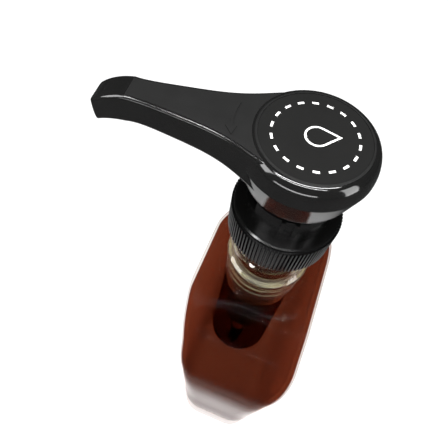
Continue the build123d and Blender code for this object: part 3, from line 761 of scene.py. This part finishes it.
@dataclass
class HeadLooks(SubAssembly):
    """The pump head: shell, disc, raised turn arrow and printed mark.

    Angles are in degrees. The arrow's span is measured from the spout.
    """

    spout_top: float = 252.7 * MM
    spout_turn: float = 5.2
    arrow_radius: float = 24.8 * MM
    arrow_width: float = 0.8 * MM
    arrow_height: float = 0.3 * MM
    arrow_sink: float = 0.1 * MM
    arrow_span: Span = (-12.0, 11.0)
    arrow_barb: float = 1.7 * MM
    drop_center: Flat = (-0.5 * MM, 0.0)
    drop_height: float = 10.5 * MM
    drop_radius: float = 3.6 * MM
    drop_turn: float = 200.0
    drop_point_growth: float = 1.9
    ink_width: float = 0.62 * MM
    ink_height: float = 0.05 * MM
    dash_radius: float = 13.2 * MM
    dash_length: float = 2.0 * MM
    dash_width: float = 0.75 * MM
    dash_count: int = 18
    dash_steps: int = 6

    def build(self) -> None:
        """Dresses the head and adds the arrow and the printed mark."""
        gloss = BlackPlastic(
            "black_gloss", color=(0.004, 0.004, 0.004), worn=(0.007, 0.007, 0.0068), rough=(0.06, 0.12),
            grain_strength=0.0, satin_top=True,
        ).make()
        satin = BlackPlastic(
            "black_satin", color=(0.007, 0.007, 0.0069), worn=(0.010, 0.010, 0.0097), rough=(0.42, 0.52),
            grain_strength=0.2, specular=0.14,
        ).make()
        self.dress(gloss, "head_shell")
        self.dress(satin, "top_disc")
        Piece.seat(self.turn_arrow(), Body.HEAD, Slot.BLACK_GLOSS, gloss)
        Piece.seat(self.printed_mark(), Body.HEAD, Slot.BLACK_SATIN, PrintedInk().make())

    @staticmethod
    def polar(radius: float, angle: float) -> Flat:
        """Gives the point (x, y) at a radius and an angle in radians."""
        return (radius * math.cos(angle), radius * math.sin(angle))

    def arc_band(self, name: str, radius: float, width: float, span: Span,
                 low: float, high: float, steps: int = 24) -> bpy.types.Object:
        """Makes a raised band along an arc about the pump axis.

        Args:
            name: the object's name.
            radius: the band's middle radius.
            width: its width.
            span: first and last angle in degrees from the spout.
            low: bottom level.
            high: top level.
            steps: divisions of the arc.

        Returns:
            The new object.
        """
        start, end = (math.radians(self.spout_turn + angle) for angle in span)
        angles = [start + (end - start) * index / steps for index in range(steps + 1)]
        outer = [self.polar(radius + width / 2, angle) for angle in angles]
        inner = [self.polar(radius - width / 2, angle) for angle in angles]
        return Piece.prism(name, outer + inner[::-1], low, high)

    def turn_arrow(self) -> bpy.types.Object:
        """Makes the raised curved arrow at the spout's root.

        Returns:
            The arrow.
        """
        low = self.spout_top - self.arrow_sink
        high = self.spout_top + self.arrow_height
        shaft = self.arc_band("arrow_shaft", self.arrow_radius, self.arrow_width, self.arrow_span, low, high)
        angle = math.radians(self.spout_turn + self.arrow_span[1])
        tip = self.polar(self.arrow_radius, angle + 2.0 * self.arrow_barb / self.arrow_radius)
        outer = self.polar(self.arrow_radius + self.arrow_barb, angle)
        inner = self.polar(self.arrow_radius - self.arrow_barb, angle)
        head = Piece.prism("arrow_head", [outer, tip, inner], low, high)
        return Piece.joined("turn_arrow", [shaft, head])

    def drop_outline(self, grow: float, steps: int = 60) -> list[Flat]:
        """Gives a plain drop's outline, its point away from the spout.

        Args:
            grow: how far the outline lies outside the middle line.
            steps: points on the round part.

        Returns:
            The outline's points.
        """
        radius = self.drop_radius + grow
        reach = self.drop_height - self.drop_radius + grow * self.drop_point_growth
        half = math.acos(radius / reach)
        around = 2 * math.pi - 2 * half
        points = [self.polar(radius, half + around * index / (steps - 1)) for index in range(steps)]
        turned = Matrix.Rotation(math.radians(self.drop_turn), 2)
        return [tuple(turned @ Vector(point) + Vector(self.drop_center)) for point in points + [(reach, 0.0)]]

    def printed_mark(self) -> bpy.types.Object:
        """Makes the disc's print: a plain drop outline in a ring of short dashes.

        Returns:
            The print.
        """
        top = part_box("top_disc")[1].z
        low, high = top - self.ink_height, top + self.ink_height
        half = self.ink_width / 2
        parts = [Piece.prism("drop", self.drop_outline(half), low, high, self.drop_outline(-half))]
        share = math.degrees(self.dash_length / self.dash_radius)
        for index in range(self.dash_count):
            start = index * 360.0 / self.dash_count - share / 2
            span = (start, start + share)
            parts.append(self.arc_band(
                f"dash_{index}", self.dash_radius, self.dash_width, span, low, high, self.dash_steps,
            ))
        return Piece.joined("disc_print", parts)


@dataclass(frozen=True)
class StripLamp:
    """A soft rectangular lamp, in metres and watts."""

    name: str
    place: Point
    size: Flat
    power: float
    aim: Point = (0.0, 0.0, 0.2)

    def hang(self) -> None:
        """Hangs the lamp in the scene, facing its aim."""
        light = bpy.data.lights.new(self.name, "AREA")
        light.shape = "RECTANGLE"
        light.size, light.size_y = self.size
        light.energy = self.power
        lamp = Piece.link(self.name, light)
        turned = (Vector(self.aim) - Vector(self.place)).to_track_quat("-Z", "Y")
        lamp.matrix_world = Matrix.Translation(self.place) @ turned.to_matrix().to_4x4()


@dataclass
class Studio:
    """Camera, lamps, floor and world.

    The floor is dimmer to glossy rays far from the object (floor_dim), so that black gloss stays dark.
    """

    eye: Point = (2.81 * MM, 86.03 * MM, 339.79 * MM)
    right: Point = (-0.9291, -0.3609, 0.0803)
    up: Point = (0.3527, -0.7998, 0.4857)
    lens: float = 32.285
    sensor: float = 36.0
    clip: Span = (0.005, 20.0)
    floor_level: float = -0.3 * MM
    floor_depth: float = 0.01
    floor_half: float = 3.0
    floor_glow: Span = (0.75, 1.0)
    far_floor: Span = (0.3, 1.0)
    floor_color: Color = (0.86, 0.86, 0.86)
    floor_dim: Color = (0.04, 0.04, 0.04)
    bright_floor: Span = (0.04, 0.15)
    ambient: float = 0.45
    mirrored: float = 0.04
    sky: Span = (0.1, 0.4)
    lamps: tuple[StripLamp, ...] = (
        StripLamp("key_strip", (-0.05, 0.10, 1.25), (1.1, 0.09), 15.0),
        StripLamp("second_strip", (-0.05, 0.42, 1.15), (1.1, 0.04), 8.0),
        StripLamp("front_strip", (0.0, 1.3, 0.45), (1.6, 0.12), 7.0),
        StripLamp("left_fill", (1.0, 0.5, 0.9), (0.7, 0.7), 14.0, aim=(0.0, 0.0, 0.15)),
        StripLamp("right_fill", (-1.1, 0.2, 0.5), (0.4, 0.9), 8.0, aim=(0.0, 0.0, 0.15)),
    )

    def build(self) -> None:
        """Builds the whole studio."""
        self.set_camera()
        self.set_world()
        self.lay_floor()
        for lamp in self.lamps:
            lamp.hang()

    def set_camera(self) -> None:
        """Sets the camera where the photograph was taken."""
        camera = Piece.link("camera", bpy.data.cameras.new("camera"))
        camera.data.lens = self.lens
        camera.data.sensor_width = self.sensor
        camera.data.sensor_fit = "HORIZONTAL"
        camera.data.clip_start, camera.data.clip_end = self.clip
        right = Vector(self.right).normalized()
        back = right.cross(Vector(self.up)).normalized()
        up = back.cross(right).normalized()
        turned = Matrix((right, up, back)).transposed()
        camera.matrix_world = Matrix.Translation(self.eye) @ turned.to_4x4()
        bpy.context.scene.camera = camera

    def set_world(self) -> None:
        """Sets a grey surrounding, white to the camera and, near the horizon and below it, through glass."""
        world = bpy.data.worlds.new("studio")
        world.use_nodes = True
        sketch = NodeSketch(world.node_tree)
        output = sketch.add("ShaderNodeOutputWorld")
        light = sketch.add("ShaderNodeBackground", Color=(1.0, 1.0, 1.0, 1.0))
        path = sketch.add("ShaderNodeLightPath")
        through = path.outputs["Is Transmission Ray"]
        glassy = sketch.math("MAXIMUM", path.outputs["Is Glossy Ray"], through)
        soft = sketch.spread(glassy, self.ambient, self.mirrored)
        low = sketch.spread(sketch.upward("Generated"), 1.0, 0.0, *self.sky)
        white = sketch.math("MAXIMUM", path.outputs["Is Camera Ray"], sketch.math("MULTIPLY", through, low))
        sketch.join(sketch.math("MAXIMUM", soft, white), light.inputs["Strength"])
        sketch.join(light.outputs[0], output.inputs["Surface"])
        bpy.context.scene.world = world

    def lay_floor(self) -> None:
        """Lays a pale floor with the object's shadow, white to the camera and through glass."""
        half = self.floor_half
        corners = [(-half, -half), (half, -half), (half, half), (-half, half)]
        floor = Piece.prism("floor", corners, self.floor_level - self.floor_depth, self.floor_level)
        sketch = MaterialSketch("pale_floor")
        diffuse = sketch.add("ShaderNodeBsdfDiffuse")
        sketch.join(self.floor_tone(sketch), diffuse.inputs["Color"])
        glow = sketch.add("ShaderNodeEmission", Strength=1.0)
        path = sketch.add("ShaderNodeLightPath")
        seen = sketch.math("MAXIMUM", path.outputs["Is Camera Ray"], path.outputs["Is Transmission Ray"])
        brightness = sketch.spread(self.reach(sketch), *self.floor_glow, *self.far_floor)
        mixed = sketch.add("ShaderNodeMixShader")
        sketch.join(sketch.math("MULTIPLY", seen, brightness), mixed.inputs[0])
        sketch.join(diffuse.outputs[0], mixed.inputs[1])
        sketch.join(glow.outputs[0], mixed.inputs[2])
        sketch.join(mixed.outputs[0], sketch.output.inputs["Surface"])
        floor.data.materials.append(sketch.material)

    def reach(self, sketch: MaterialSketch) -> bpy.types.NodeSocket:
        """Gives a floor point's distance from the object's middle.

        Args:
            sketch: the floor's material.

        Returns:
            The value socket.
        """
        length = sketch.add("ShaderNodeVectorMath", operation="LENGTH")
        sketch.join(sketch.place(), length.inputs[0])
        return length.outputs["Value"]

    def floor_tone(self, sketch: MaterialSketch) -> bpy.types.NodeSocket:
        """Gives the floor's colour: pale, but dim in mirror images far from the object.

        Args:
            sketch: the floor's material.

        Returns:
            The colour socket.
        """
        far = sketch.spread(self.reach(sketch), 0.0, 1.0, *self.bright_floor)
        glossy = sketch.add("ShaderNodeLightPath").outputs["Is Glossy Ray"]
        return sketch.mix(sketch.math("MULTIPLY", far, glossy), self.floor_color, self.floor_dim)


def main() -> None:
    """Loads the frame, dresses every sub-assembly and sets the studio."""
    logging.basicConfig(level=logging.INFO, format="%(message)s")
    bpy.context.scene.view_settings.view_transform = "Standard"
    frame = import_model()
    nodes = frame["nodes"]
    for looks in (BottleLooks(nodes), ClosureLooks(nodes), PumpLooks(nodes), HeadLooks(nodes)):
        looks.build()
    Studio().build()
    bpy.context.view_layer.update()


if __name__ == "__main__":
    main()
